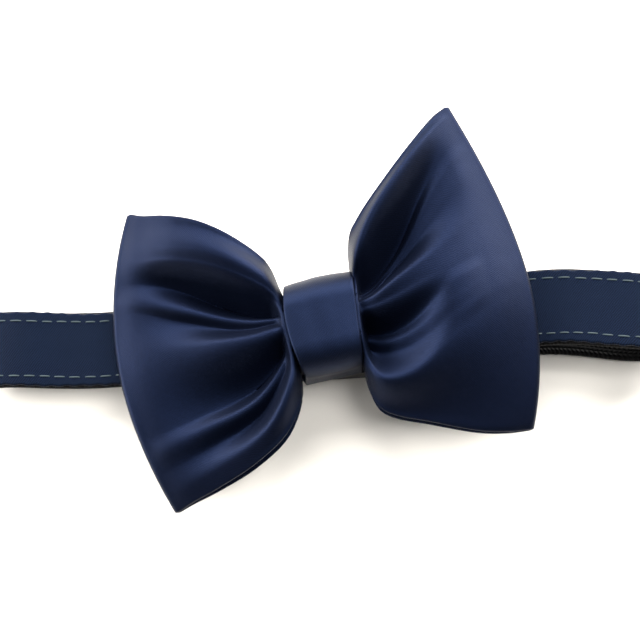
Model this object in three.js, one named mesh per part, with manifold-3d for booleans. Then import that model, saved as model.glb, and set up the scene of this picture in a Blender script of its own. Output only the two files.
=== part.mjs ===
// A pet bow tie collar, fastened and lying on its back on a table: the closed loop of webbing is pressed
// flat, and the bow lies on top of it. Millimetres, X along the collar, Z up, and the table is Z = 0.
// The bow is one folded length of satin: each wing is an open hollow loop with a front and a back layer.
import * as THREE from "three";
import { mergeVertices } from "three/addons/utils/BufferGeometryUtils.js";
import Module from "manifold-3d";

// Clear space left between two pieces that rest on each other.
const SEAT = 0.3;

// Collar: webbing with a satin ribbon sewn on its outer side.
const WEBBING_WIDTH = 20;
const WEBBING_WALL = 1.5;
const RIBBON_INSET = 0.1;
const RIBBON_WALL = 1;
const COLLAR_REACH = 95;
const RIGHT_SWAY = 2.8;
const RIGHT_END_DROP = 1.4;
const LEFT_SWAY = 1.3;
const LEFT_UNDER_SHIFT = 2.1;
const STRAIGHT_REACH = 28;

// Height of the upper run's middle line over the lower run's, at both sides of the bow.
const RIGHT_RUN_RISE = 13;
const LEFT_RUN_RISE = 8;

// The loop at each end of the collar: where its round begins on the table and ends on top, how far the round
// is pulled outward and upward, and how gently the upper run comes down from it to the bow.
const ROUND_FLOOR_INSET = 13;
const ROUND_TOP_INSET = 17;
const ROUND_PULL = 22;
const ROUND_OVERSHOOT = 6;
const ROUND_LIFT = 1;
const RUN_OUTER_EASE = 12;
const RUN_DIP = 1.2;
const RUN_INNER_EASE = 22;

// Clasp: a plain body with a slotted lug at each end, round whose bar the webbing is folded back.
const CLASP_BODY_LENGTH = 26;
const CLASP_THICK = 7;
const CLASP_CORNER = 3;
const BAR_LENGTH = 4;
const BAR_THICK = 2.4;
const SLOT_LENGTH = 4.2;
const SLOT_SIDE_CLEARANCE = 0.5;
const LUG_SIDE = 0.8;
const CLASP_WIDTH = WEBBING_WIDTH + 2 * (SLOT_SIDE_CLEARANCE + LUG_SIDE);
const SLOT_CORNER = 0.4;
const FOLD_BACK = 16;
const RIBBON_END_GAP = 4;

// Bow: wings of satin 1 mm thick with their hems, folded at the outer ends, and a waist inside the knot band.
const SATIN_WALL = 1;
const WING_REACH = 57.4;
const WING_HALF_HEIGHT = 44;
const WING_PUFF = 20;
const FOLD_RADIUS = 0.9;
const BOW_TILT = THREE.MathUtils.degToRad(10);
const WAIST_PUFF = 10;

// Knot band: a sleeve of satin round the bow's waist and the collar under it.
const BAND_WALL = 1.2;
const BAND_HALF_LENGTH = 8.2;
const BAND_END_SLANT = 1.5;
const BAND_END_ROUND = 2;
const BAND_SIDE_CLEARANCE = 0.5;
const WAIST_SIDE_CLEARANCE = 1;
const WAIST_TOP_CLEARANCE = 0.8;
const BAND_TOP_RADIUS = 7.5;
const BAND_BASE_RADIUS = 1.2;
const BAND_BARREL = 0.6;

// Mesh fineness: rows of each wing, steps of the collar's curves and of the band's section, and two short
// distances, one within which points count as the same and one over which a slope is taken.
const FRONT_ROWS = 18;
const BACK_ROWS = 6;
const NOSE_ROWS = 3;
const TURN_STEPS = 8;
const FLOOR_STEPS = 8;
const RUN_STEPS = 18;
const CORNER_STEPS = 5;
const BAND_CORNER_STEPS = 7;
const BAND_FLAT_STEPS = 3;
const SAME_PLACE = 1e-6;
const NEARBY = 0.01;

// Places that follow from the sizes above.
const WEBBING_MIDDLE = RIBBON_WALL + SEAT + WEBBING_WALL / 2;
const RIBBON_WIDTH = WEBBING_WIDTH - 2 * RIBBON_INSET;
const RIBBON_OFFSET = WEBBING_WALL / 2 + SEAT + RIBBON_WALL / 2;
const BAND_BASE = CLASP_THICK + SEAT;
const UPPER_MIDDLE = BAND_BASE + BAND_WALL + SEAT + WEBBING_WALL / 2;
const BOW_BACK = UPPER_MIDDLE + RIBBON_OFFSET + RIBBON_WALL / 2 + SEAT + SATIN_WALL / 2;
const WAIST_LIFT = SATIN_WALL + SEAT;
const BAND_TOP = BOW_BACK + WAIST_LIFT + WAIST_PUFF + SATIN_WALL / 2 + WAIST_TOP_CLEARANCE + BAND_WALL;
const BAND_REACH = BAND_HALF_LENGTH + Math.max(BAND_END_SLANT, BAND_END_ROUND);
const RUN_HALF_ACROSS = (WEBBING_WIDTH / 2) * Math.cos(BOW_TILT) + BAND_REACH * Math.sin(BOW_TILT);
const BAND_INNER_HALF = RUN_HALF_ACROSS + BAND_SIDE_CLEARANCE;
const WAIST_HALF_HEIGHT = BAND_INNER_HALF - WAIST_SIDE_CLEARANCE - SATIN_WALL / 2;
const BAND_HALF_HEIGHT = BAND_INNER_HALF + BAND_WALL;

// The plan of each wing, from the knot band's end (0) to the outer fold (1). Out and up are shares of what
// the wing adds to the waist's reach and half height. The bulge bends a section outward at its middle, and
// the lean moves that bulge up or down.
const LEFT_PLAN = [
  { at: 0, topOut: 0, topUp: 0, baseOut: 0, baseDown: 0, bulge: 0, lean: 0 },
  { at: 0.07, topOut: 0.04, topUp: 0.24, baseOut: 0.03, baseDown: 0.22, bulge: 0, lean: 0 },
  { at: 0.2, topOut: 0.17, topUp: 0.46, baseOut: 0.15, baseDown: 0.46, bulge: 0.02, lean: 0.05 },
  { at: 0.4, topOut: 0.37, topUp: 0.68, baseOut: 0.36, baseDown: 0.63, bulge: 0.06, lean: 0.1 },
  { at: 0.65, topOut: 0.57, topUp: 0.82, baseOut: 0.6, baseDown: 0.74, bulge: 0.11, lean: 0.15 },
  { at: 0.85, topOut: 0.7, topUp: 0.89, baseOut: 0.77, baseDown: 0.8, bulge: 0.15, lean: 0.15 },
  { at: 1, topOut: 0.76, topUp: 0.94, baseOut: 0.86, baseDown: 0.84, bulge: 0.19, lean: 0.15 },
];
const RIGHT_PLAN = [
  { at: 0, topOut: 0, topUp: 0, baseOut: 0, baseDown: 0, bulge: 0, lean: 0 },
  { at: 0.07, topOut: 0.02, topUp: 0.26, baseOut: 0, baseDown: 0.28, bulge: 0.01, lean: 0 },
  { at: 0.2, topOut: 0.09, topUp: 0.41, baseOut: 0.06, baseDown: 0.47, bulge: 0.05, lean: -0.05 },
  { at: 0.4, topOut: 0.31, topUp: 0.69, baseOut: 0.29, baseDown: 0.63, bulge: 0.07, lean: -0.1 },
  { at: 0.65, topOut: 0.54, topUp: 0.97, baseOut: 0.53, baseDown: 0.78, bulge: 0.1, lean: -0.15 },
  { at: 0.85, topOut: 0.68, topUp: 1.13, baseOut: 0.69, baseDown: 0.84, bulge: 0.14, lean: -0.15 },
  { at: 1, topOut: 0.77, topUp: 1.2, baseOut: 0.81, baseDown: 0.86, bulge: 0.18, lean: -0.15 },
];

// Heights of each wing's back layer over the waist's back, as shares of the wing's puff.
const LEFT_BACK = [
  { at: 0, top: 0, middle: 0, base: 0 },
  { at: 0.07, top: 0.06, middle: 0.02, base: 0 },
  { at: 0.2, top: 0.18, middle: 0.03, base: -0.06 },
  { at: 0.4, top: 0.3, middle: 0.04, base: -0.16 },
  { at: 0.65, top: 0.37, middle: 0.05, base: -0.22 },
  { at: 1, top: 0.39, middle: 0.1, base: -0.21 },
];
const RIGHT_BACK = [
  { at: 0, top: 0, middle: 0, base: 0 },
  { at: 0.07, top: 0.12, middle: 0.03, base: 0 },
  { at: 0.2, top: 0.26, middle: 0.1, base: -0.02 },
  { at: 0.4, top: 0.4, middle: 0.2, base: -0.04 },
  { at: 0.65, top: 0.5, middle: 0.3, base: -0.04 },
  { at: 1, top: 0.6, middle: 0.42, base: -0.02 },
];

// Crest and valley lines of each wing's front layer, from its top edge (1) to its bottom edge (-1). Across is
// where the line runs at each station, and puff is its height over the back layer there, as a share of the
// wing's puff. A crease of 0 is a round crest or valley and 1 a sharp one. Steps counts the columns down to
// the next line.
const LINE_STATIONS = [0, 0.12, 0.3, 0.55, 0.8, 1];
const LEFT_LINES = {
  topEdge: { crease: 0, steps: 2,
    across: [1, 1, 1, 1, 1, 1], puff: [0.3, 0.32, 0.36, 0.26, 0.1, 0] },
  topRoll: { crease: 0, steps: 3,
    across: [0.7, 0.8, 0.84, 0.85, 0.86, 0.86], puff: [0.55, 0.62, 0.64, 0.46, 0.18, 0] },
  shoulder: { crease: 0.2, steps: 4,
    across: [0.5, 0.6, 0.68, 0.7, 0.74, 0.74], puff: [0.5, 0.58, 0.56, 0.4, 0.17, 0] },
  upperValley: { crease: 0.2, steps: 3,
    across: [0.3, 0.24, 0.31, 0.42, 0.5, 0.52], puff: [0.3, 0.2, 0.08, 0.12, 0.13, 0] },
  thinRidge: { crease: 0, steps: 2,
    across: [0.2, 0.15, 0.17, 0.26, 0.36, 0.4], puff: [0.42, 0.44, 0.33, 0.27, 0.16, 0] },
  ridgeFoot: { crease: 0, steps: 2,
    across: [0.15, 0.11, 0.11, 0.18, 0.28, 0.33], puff: [0.42, 0.43, 0.31, 0.25, 0.15, 0] },
  middleRoll: { crease: 0, steps: 4,
    across: [0.02, 0, -0.02, 0, 0.05, 0.1], puff: [0.5, 0.58, 0.5, 0.34, 0.17, 0] },
  lowerValley: { crease: 0.1, steps: 3,
    across: [-0.2, -0.34, -0.46, -0.48, -0.5, -0.5], puff: [0.3, 0.2, 0.09, 0.14, 0.14, 0] },
  shortRidge: { crease: 0, steps: 3,
    across: [-0.28, -0.43, -0.57, -0.6, -0.62, -0.62], puff: [0.34, 0.3, 0.26, 0.22, 0.15, 0] },
  baseValley: { crease: 0.1, steps: 3,
    across: [-0.36, -0.52, -0.68, -0.74, -0.76, -0.76], puff: [0.34, 0.3, 0.18, 0.16, 0.13, 0] },
  baseRoll: { crease: 0, steps: 2,
    across: [-0.62, -0.74, -0.86, -0.89, -0.9, -0.9], puff: [0.5, 0.54, 0.42, 0.28, 0.14, 0] },
  bottomEdge: { crease: 0, steps: 0,
    across: [-1, -1, -1, -1, -1, -1], puff: [0.3, 0.34, 0.34, 0.24, 0.1, 0] },
};
const RIGHT_LINES = {
  topEdge: { crease: 0, steps: 3,
    across: [1, 1, 1, 1, 1, 1], puff: [0.3, 0.44, 0.46, 0.34, 0.14, 0] },
  topRoll: { crease: 0, steps: 4,
    across: [0.6, 0.72, 0.86, 0.9, 0.92, 0.92], puff: [0.5, 0.66, 0.62, 0.42, 0.19, 0] },
  upperValley: { crease: 0.15, steps: 2,
    across: [0.36, 0.33, 0.43, 0.68, 0.78, 0.8], puff: [0.3, 0.14, 0.08, 0.24, 0.2, 0] },
  valleyRidge: { crease: 0, steps: 2,
    across: [0.3, 0.27, 0.38, 0.58, 0.68, 0.72], puff: [0.36, 0.26, 0.2, 0.32, 0.21, 0] },
  sideValley: { crease: 0.1, steps: 2,
    across: [0.25, 0.21, 0.33, 0.46, 0.56, 0.6], puff: [0.42, 0.4, 0.21, 0.3, 0.23, 0] },
  plateau: { crease: 0, steps: 3,
    across: [0.15, 0.11, 0.17, 0.22, 0.3, 0.3], puff: [0.5, 0.52, 0.58, 0.46, 0.25, 0] },
  plateauFoot: { crease: 0, steps: 4,
    across: [0.02, 0, 0, 0.08, 0.1, 0.1], puff: [0.48, 0.5, 0.53, 0.47, 0.26, 0] },
  pocket: { crease: 0.1, steps: 2,
    across: [-0.18, -0.28, -0.3, -0.06, 0.02, 0.02], puff: [0.22, 0.12, 0.24, 0.46, 0.26, 0] },
  pocketCrease: { crease: 0, steps: 2,
    across: [-0.26, -0.39, -0.4, -0.16, -0.06, -0.06], puff: [0.2, 0.17, 0.29, 0.45, 0.26, 0] },
  secondPocket: { crease: 0.1, steps: 2,
    across: [-0.34, -0.5, -0.5, -0.26, -0.14, -0.14], puff: [0.22, 0.14, 0.27, 0.44, 0.26, 0] },
  pocketRim: { crease: 0.3, steps: 5,
    across: [-0.5, -0.72, -0.66, -0.38, -0.26, -0.22], puff: [0.38, 0.44, 0.47, 0.43, 0.25, 0] },
  bottomEdge: { crease: 0, steps: 0,
    across: [-1, -1, -1, -1, -1, -1], puff: [0.2, 0.2, 0.2, 0.15, 0.08, 0] },
};

// How a wing's back layer curves across, how steep a sharp crease starts, how much closer its sections stand
// near the knot, and the share of its length over which the waist's section turns into the wing's.
const BACK_ROUND = 2.2;
const SHARP_SLOPE = 1.5;
const STATION_POWER = 1.3;
const WAIST_BLEND = 0.1;

// A smooth curve through values given at rising stations.
function smooth(stations, values, x) {
  const last = stations.length - 1;
  if (x <= stations[0]) return values[0];
  if (x >= stations[last]) return values[last];
  let i = 0;
  while (x > stations[i + 1]) i += 1;
  const slope = (a, b) => (values[b] - values[a]) / (stations[b] - stations[a]);
  const tangent = (k) => (k === 0 || k === last ? slope(i, i + 1) : slope(k - 1, k + 1));
  const step = stations[i + 1] - stations[i];
  const t = (x - stations[i]) / step;
  const rise = values[i + 1] - values[i];
  const a = tangent(i) * step - rise;
  const b = rise - tangent(i + 1) * step;
  return values[i] + t * rise + t * (1 - t) * (a * (1 - t) + b * t);
}

// One column of a section table, read at a share of the way out.
function column(sections, name, at) {
  const stations = sections.map((row) => row.at);
  const values = sections.map((row) => row[name]);
  return smooth(stations, values, at);
}

// Both faces of a cloth wall whose middle surface is given as rows of points. It is closed along its two side
// edges, and at its first and last rows too unless it runs round to its start.
function clothWall(rows, wall, runsRound) {
  const rowCount = rows.length;
  const across = rows[0].length;
  const wrapped = (i) => (i + rowCount) % rowCount;
  const rowAt = (i) => rows[runsRound ? wrapped(i) : THREE.MathUtils.clamp(i, 0, rowCount - 1)];
  const positions = [];
  for (const side of [1, -1]) {
    for (let i = 0; i < rowCount; i += 1) {
      for (let j = 0; j < across; j += 1) {
        const along = rowAt(i + 1)[j].clone().sub(rowAt(i - 1)[j]);
        const sideways = rows[i][Math.min(j + 1, across - 1)].clone().sub(rows[i][Math.max(j - 1, 0)]);
        const normal = along.cross(sideways).normalize();
        positions.push(...rows[i][j].clone().addScaledVector(normal, (side * wall) / 2));
      }
    }
  }
  const outer = (i, j) => (i % rowCount) * across + j;
  const inner = (i, j) => rowCount * across + outer(i, j);
  const faces = [];
  const quad = (a, b, c, d) => faces.push(a, b, c, a, c, d);
  const spans = runsRound ? rowCount : rowCount - 1;
  for (let i = 0; i < spans; i += 1) {
    for (let j = 0; j < across - 1; j += 1) {
      quad(outer(i, j), outer(i + 1, j), outer(i + 1, j + 1), outer(i, j + 1));
      quad(inner(i, j), inner(i, j + 1), inner(i + 1, j + 1), inner(i + 1, j));
    }
    quad(outer(i, 0), inner(i, 0), inner(i + 1, 0), outer(i + 1, 0));
    quad(outer(i, across - 1), outer(i + 1, across - 1), inner(i + 1, across - 1), inner(i, across - 1));
  }
  if (!runsRound) {
    const end = rowCount - 1;
    for (let j = 0; j < across - 1; j += 1) {
      quad(outer(0, j), outer(0, j + 1), inner(0, j + 1), inner(0, j));
      quad(outer(end, j), inner(end, j), inner(end, j + 1), outer(end, j + 1));
    }
  }
  const geometry = new THREE.BufferGeometry();
  geometry.setAttribute("position", new THREE.Float32BufferAttribute(positions, 3));
  geometry.setIndex(faces);
  geometry.computeVertexNormals();
  return geometry;
}

function reversed(list) {
  return [...list].reverse();
}

function namedMesh(name, geometry, material) {
  const mesh = new THREE.Mesh(geometry, material);
  mesh.name = name;
  return mesh;
}

// The collar's side view, as curves of the webbing's middle line in X and Z, each with its number of steps.
// It starts at the webbing end folded back over the right bar and runs round to the end over the left bar.
const BAR_INNER = CLASP_BODY_LENGTH / 2 + SLOT_LENGTH;
const BAR_OUTER = BAR_INNER + BAR_LENGTH;
const TURN_RADIUS = BAR_THICK / 2 + SEAT + WEBBING_WALL / 2;
const BAR_MIDDLE = WEBBING_MIDDLE + TURN_RADIUS;
const RIBBON_START = BAR_OUTER + FOLD_BACK + RIBBON_END_GAP;
const ROUND_TOP_END = COLLAR_REACH - ROUND_TOP_INSET;

function barTurn(side) {
  const upper = BAR_MIDDLE + TURN_RADIUS;
  const sewn = WEBBING_MIDDLE + WEBBING_WALL + SEAT;
  const barEnd = new THREE.Vector2(side * BAR_OUTER, upper);
  const tail = new THREE.Vector2(side * (BAR_OUTER + FOLD_BACK), sewn);
  const reach = (side * FOLD_BACK) / 2;
  const foldBack = new THREE.CubicBezierCurve(
    tail,
    new THREE.Vector2(tail.x - reach, sewn),
    new THREE.Vector2(barEnd.x + reach / 2, upper),
    barEnd,
  );
  const overBar = new THREE.LineCurve(barEnd, new THREE.Vector2(side * BAR_INNER, upper));
  const middle = side * BAR_INNER;
  const start = Math.PI / 2;
  const end = start + side * Math.PI;
  const turn = new THREE.EllipseCurve(middle, BAR_MIDDLE, TURN_RADIUS, TURN_RADIUS, start, end, side < 0);
  const underBar = new THREE.LineCurve(
    new THREE.Vector2(middle, WEBBING_MIDDLE),
    new THREE.Vector2(side * RIBBON_START, WEBBING_MIDDLE),
  );
  return [
    { curve: foldBack, steps: TURN_STEPS },
    { curve: overBar, steps: 1 },
    { curve: turn, steps: TURN_STEPS },
    { curve: underBar, steps: 3 },
  ];
}

function endLoop(side, rise) {
  const floorEnd = COLLAR_REACH - ROUND_FLOOR_INSET;
  const upper = WEBBING_MIDDLE + rise;
  return [
    {
      curve: new THREE.LineCurve(
        new THREE.Vector2(side * RIBBON_START, WEBBING_MIDDLE),
        new THREE.Vector2(side * floorEnd, WEBBING_MIDDLE),
      ),
      steps: FLOOR_STEPS,
    },
    {
      curve: new THREE.CubicBezierCurve(
        new THREE.Vector2(side * floorEnd, WEBBING_MIDDLE),
        new THREE.Vector2(side * (floorEnd + ROUND_PULL), WEBBING_MIDDLE),
        new THREE.Vector2(side * (ROUND_TOP_END + ROUND_PULL), upper + ROUND_OVERSHOOT),
        new THREE.Vector2(side * ROUND_TOP_END, upper + ROUND_LIFT),
      ),
      steps: RUN_STEPS,
    },
  ];
}

// A side view's points in order, without the doubled ones where two curves meet.
function distinct(points) {
  return points.filter((point, i) => i === 0 || points[i - 1].distanceTo(point) > SAME_PLACE);
}

function curvePoints(parts) {
  return distinct(parts.flatMap(({ curve, steps }) => curve.getPoints(steps)));
}

function upperRun(side, rise) {
  const upper = WEBBING_MIDDLE + rise;
  return [
    {
      curve: new THREE.CubicBezierCurve(
        new THREE.Vector2(side * ROUND_TOP_END, upper + ROUND_LIFT),
        new THREE.Vector2(side * (ROUND_TOP_END - RUN_OUTER_EASE), upper - RUN_DIP),
        new THREE.Vector2(side * (BAND_REACH + RUN_INNER_EASE), UPPER_MIDDLE),
        new THREE.Vector2(side * BAND_REACH, UPPER_MIDDLE),
      ),
      steps: RUN_STEPS,
    },
  ];
}

// How far the collar's middle sways along Y. It is straight at the clasp. Further out each run curves once,
// and the right end drops. The left side's lower run is shifted, so that the upper run hides it from above.
function sway(x, z) {
  const beyond = (Math.abs(x) - STRAIGHT_REACH) / (COLLAR_REACH - STRAIGHT_REACH);
  const share = THREE.MathUtils.clamp(beyond, 0, 1);
  const wave = (1 - Math.cos(2 * Math.PI * share)) / 2;
  if (x > 0) return RIGHT_SWAY * wave - RIGHT_END_DROP * THREE.MathUtils.smoothstep(share, 0.4, 1);
  const under = 1 - THREE.MathUtils.smoothstep(z, WEBBING_MIDDLE, WEBBING_MIDDLE + LEFT_RUN_RISE);
  return LEFT_UNDER_SHIFT * THREE.MathUtils.smoothstep(share, 0, 0.5) * under - LEFT_SWAY * wave;
}

// The rows of a strip that follows the side view, at an offset outside the webbing's middle line.
function stripRows(sideView, width, offset) {
  const spine = sideView.map((p) => new THREE.Vector3(p.x, sway(p.x, p.y), p.y));
  return spine.map((point, i) => {
    const slope = (sway(point.x + NEARBY, point.z) - sway(point.x - NEARBY, point.z)) / (2 * NEARBY);
    const sideways = new THREE.Vector3(-slope, 1, 0).normalize();
    const before = spine[Math.max(i - 1, 0)];
    const after = spine[Math.min(i + 1, spine.length - 1)];
    const outward = sideways.clone().cross(after.clone().sub(before)).normalize();
    return [-1, 1].map((share) =>
      point.clone().addScaledVector(outward, offset).addScaledVector(sideways, (share * width) / 2),
    );
  });
}

// The ribbon's way round from one side of the clasp to the other, and the webbing's, which adds both turns.
function collarSideViews() {
  const right = curvePoints([...endLoop(1, RIGHT_RUN_RISE), ...upperRun(1, RIGHT_RUN_RISE)]);
  const left = curvePoints([...endLoop(-1, LEFT_RUN_RISE), ...upperRun(-1, LEFT_RUN_RISE)]);
  const main = distinct([...right, ...reversed(left)]);
  const whole = distinct([...curvePoints(barTurn(1)), ...main, ...reversed(curvePoints(barTurn(-1)))]);
  return { main, whole };
}

// A closed mesh as a solid that can be joined or cut.
function toSolid(wasm, geometry) {
  const bare = geometry.clone();
  bare.deleteAttribute("normal");
  bare.deleteAttribute("uv");
  const merged = mergeVertices(bare, 1e-3);
  const source = merged.index.array;
  return new wasm.Manifold(
    new wasm.Mesh({
      numProp: 3,
      vertProperties: new Float32Array(merged.getAttribute("position").array),
      triVerts: new Uint32Array(source),
    }),
  );
}

function toGeometry(solid) {
  const mesh = solid.getMesh();
  const geometry = new THREE.BufferGeometry();
  geometry.setAttribute("position", new THREE.Float32BufferAttribute(mesh.vertProperties, 3));
  geometry.setIndex([...mesh.triVerts]);
  geometry.computeVertexNormals();
  return geometry;
}

function roundedRectangle(Kind, halfX, halfY, radius) {
  const outline = new Kind();
  outline.moveTo(halfX, -halfY + radius);
  outline.lineTo(halfX, halfY - radius);
  outline.absarc(halfX - radius, halfY - radius, radius, 0, Math.PI / 2);
  outline.lineTo(-halfX + radius, halfY);
  outline.absarc(-halfX + radius, halfY - radius, radius, Math.PI / 2, Math.PI);
  outline.lineTo(-halfX, -halfY + radius);
  outline.absarc(-halfX + radius, -halfY + radius, radius, Math.PI, Math.PI * 1.5);
  outline.lineTo(halfX - radius, -halfY);
  outline.absarc(halfX - radius, -halfY + radius, radius, Math.PI * 1.5, Math.PI * 2);
  return outline;
}

// The body stands on the table. The thinner lugs carry the bars at the height of the webbing's turn.
function claspGeometry(wasm) {
  const block = new THREE.ExtrudeGeometry(
    roundedRectangle(THREE.Shape, CLASP_BODY_LENGTH / 2, CLASP_WIDTH / 2, CLASP_CORNER),
    { depth: CLASP_THICK, bevelEnabled: false, curveSegments: CORNER_STEPS },
  );
  const plate = roundedRectangle(THREE.Shape, BAR_OUTER, CLASP_WIDTH / 2, CLASP_CORNER);
  const slotHalfWidth = WEBBING_WIDTH / 2 + SLOT_SIDE_CLEARANCE;
  for (const side of [1, -1]) {
    const slot = roundedRectangle(THREE.Path, SLOT_LENGTH / 2, slotHalfWidth, SLOT_CORNER);
    const middle = side * (CLASP_BODY_LENGTH / 2 + SLOT_LENGTH / 2);
    plate.holes.push(new THREE.Path(slot.getPoints(2).map((p) => new THREE.Vector2(p.x + middle, p.y))));
  }
  const lugs = new THREE.ExtrudeGeometry(plate, {
    depth: BAR_THICK,
    bevelEnabled: false,
    curveSegments: CORNER_STEPS,
  });
  lugs.translate(0, 0, BAR_MIDDLE - BAR_THICK / 2);
  return toGeometry(toSolid(wasm, block).add(toSolid(wasm, lugs)));
}

// The columns of one section: each is a place across it and a height over the back layer, as a share of the
// wing's puff.
function lineColumns(table, at) {
  const lines = Object.values(table);
  const places = lines.map((fold) => smooth(LINE_STATIONS, fold.across, at));
  const puffs = lines.map((fold) => smooth(LINE_STATIONS, fold.puff, at));
  const columns = [];
  lines.slice(0, -1).forEach((fold, k) => {
    const rise = puffs[k + 1] - puffs[k];
    const startSlope = SHARP_SLOPE * fold.crease * rise;
    const endSlope = SHARP_SLOPE * lines[k + 1].crease * rise;
    for (let i = 0; i < fold.steps; i += 1) {
      const t = i / fold.steps;
      const eased = rise * t * t * (3 - 2 * t) + startSlope * t * (1 - t) ** 2 - endSlope * t * t * (1 - t);
      columns.push({ across: THREE.MathUtils.lerp(places[k], places[k + 1], t), puff: puffs[k] + eased });
    }
  });
  columns.push({ across: -1, puff: puffs[lines.length - 1] });
  return columns;
}

// The height of a layer over the waist's back, inside the knot band.
function waistHeight(layer, across) {
  return layer === "front" ? WAIST_LIFT + WAIST_PUFF * Math.sqrt(1 - across ** 4) : 0;
}

function wingHeight(wing, layer, at, { across, puff }) {
  const edge = column(wing.back, across > 0 ? "top" : "base", at);
  const middle = column(wing.back, "middle", at);
  const backShare = middle + (edge - middle) * Math.abs(across) ** BACK_ROUND;
  const share = layer === "front" ? backShare + puff : backShare;
  const lift = at * FOLD_RADIUS * (layer === "front" ? 1 : -1);
  const blend = THREE.MathUtils.smoothstep(at, 0, WAIST_BLEND);
  return THREE.MathUtils.lerp(waistHeight(layer, across), share * WING_PUFF + lift, blend);
}

// How far the knot band reaches along a side, at a share of its half height.
function bandEnd(side, share) {
  return BAND_HALF_LENGTH + (side > 0 ? BAND_END_SLANT * share : BAND_END_ROUND * (1 - share * share));
}

function wingRow(wing, layer, at) {
  const read = (name) => column(wing.plan, name, at);
  return lineColumns(wing.lines, at).map((place) => {
    const topShare = (place.across + 1) / 2;
    const bulge = read("bulge") * (1 - place.across ** 2) * (1 + read("lean") * place.across);
    const out = THREE.MathUtils.lerp(read("baseOut"), read("topOut"), topShare) + bulge;
    const up = THREE.MathUtils.lerp(-read("baseDown"), read("topUp"), topShare);
    const bandShare = (place.across * WAIST_HALF_HEIGHT) / BAND_HALF_HEIGHT;
    const start = bandEnd(wing.side, bandShare) + SEAT + SATIN_WALL / 2;
    return new THREE.Vector3(
      wing.side * THREE.MathUtils.lerp(start, WING_REACH - FOLD_RADIUS, out),
      place.across * WAIST_HALF_HEIGHT + up * (WING_HALF_HEIGHT - WAIST_HALF_HEIGHT),
      BOW_BACK + wingHeight(wing, layer, at, place),
    );
  });
}

// The rows of one wing from the knot out along the front, round the outer fold and in along the back layer.
function wingRows(wing) {
  const station = (i, count) => (i / count) ** STATION_POWER;
  const rows = [];
  for (let i = 0; i <= FRONT_ROWS; i += 1) rows.push(wingRow(wing, "front", station(i, FRONT_ROWS)));
  for (let i = 1; i < NOSE_ROWS; i += 1) {
    const angle = (Math.PI * i) / NOSE_ROWS;
    const nose = new THREE.Vector3(wing.side * Math.sin(angle), 0, Math.cos(angle) - 1);
    rows.push(wingRow(wing, "front", 1).map((point) => point.addScaledVector(nose, FOLD_RADIUS)));
  }
  for (let i = BACK_ROWS; i >= 0; i -= 1) rows.push(wingRow(wing, "back", station(i, BACK_ROWS)));
  return rows;
}

// Both wings, joined by straight rows inside the knot band.
function bowGeometry() {
  const right = wingRows({ side: 1, plan: RIGHT_PLAN, back: RIGHT_BACK, lines: RIGHT_LINES });
  const left = wingRows({ side: -1, plan: LEFT_PLAN, back: LEFT_BACK, lines: LEFT_LINES });
  return clothWall([...right, ...reversed(left)].map(reversed), SATIN_WALL, true);
}

// The band's section across the bow: a loop with rounder corners at the top, as corner arcs joined by flats.
function bandLoop() {
  const half = BAND_INNER_HALF + BAND_WALL / 2;
  const base = BAND_BASE + BAND_WALL / 2;
  const top = BAND_TOP - BAND_WALL / 2;
  const corners = [
    { up: half - BAND_TOP_RADIUS, z: top - BAND_TOP_RADIUS, radius: BAND_TOP_RADIUS },
    { up: -half + BAND_TOP_RADIUS, z: top - BAND_TOP_RADIUS, radius: BAND_TOP_RADIUS },
    { up: -half + BAND_BASE_RADIUS, z: base + BAND_BASE_RADIUS, radius: BAND_BASE_RADIUS },
    { up: half - BAND_BASE_RADIUS, z: base + BAND_BASE_RADIUS, radius: BAND_BASE_RADIUS },
  ];
  const path = new THREE.CurvePath();
  const onCorner = ({ up, z, radius }, angle) =>
    new THREE.Vector2(up + radius * Math.cos(angle), z + radius * Math.sin(angle));
  corners.forEach((corner, k) => {
    const start = (k * Math.PI) / 2;
    const end = start + Math.PI / 2;
    const next = corners[(k + 1) % corners.length];
    path.add(new THREE.EllipseCurve(corner.up, corner.z, corner.radius, corner.radius, start, end));
    path.add(new THREE.LineCurve(onCorner(corner, end), onCorner(next, end)));
  });
  const steps = (k) => (k % 2 ? BAND_FLAT_STEPS : BAND_CORNER_STEPS);
  return path.curves.flatMap((curve, k) => curve.getPoints(steps(k)).slice(0, -1));
}

function bandGeometry() {
  const middleZ = (BAND_BASE + BAND_TOP) / 2;
  const rows = bandLoop().map(({ x: up, y: z }) =>
    [-1, -0.5, 0, 0.5, 1].map((share) => {
      const length = bandEnd(share, up / BAND_HALF_HEIGHT);
      const swell = z > middleZ ? BAND_BARREL * (1 - share * share) : 0;
      const away = new THREE.Vector2(up / BAND_HALF_HEIGHT, (z - middleZ) / (BAND_TOP - middleZ)).normalize();
      return new THREE.Vector3(share * length, up + swell * away.x, z + swell * away.y);
    }),
  );
  return clothWall(reversed(rows), BAND_WALL, true);
}

const wasm = await Module();
wasm.setup();

const material = (name, color, roughness) =>
  new THREE.MeshStandardMaterial({ name, color, roughness, metalness: 0 });
const satin = material("navy_satin", 0x2b3654, 0.42);
const ribbonSatin = material("ribbon_satin", 0x243250, 0.5);
const nylon = material("black_webbing", 0x121216, 0.8);
const plastic = material("black_plastic", 0x16161a, 0.45);

const { main, whole } = collarSideViews();
const webbingRows = stripRows(whole, WEBBING_WIDTH, 0);
const ribbonRows = stripRows(main, RIBBON_WIDTH, RIBBON_OFFSET);
const collar = new THREE.Group();
collar.add(
  namedMesh("collar_webbing", clothWall(webbingRows, WEBBING_WALL, false), nylon),
  namedMesh("collar_ribbon", clothWall(ribbonRows, RIBBON_WALL, false), ribbonSatin),
  namedMesh("clasp", claspGeometry(wasm), plastic),
);

const bow = new THREE.Group();
bow.add(namedMesh("bow", bowGeometry(), satin), namedMesh("knot_band", bandGeometry(), satin));
bow.rotation.z = BOW_TILT;

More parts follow.
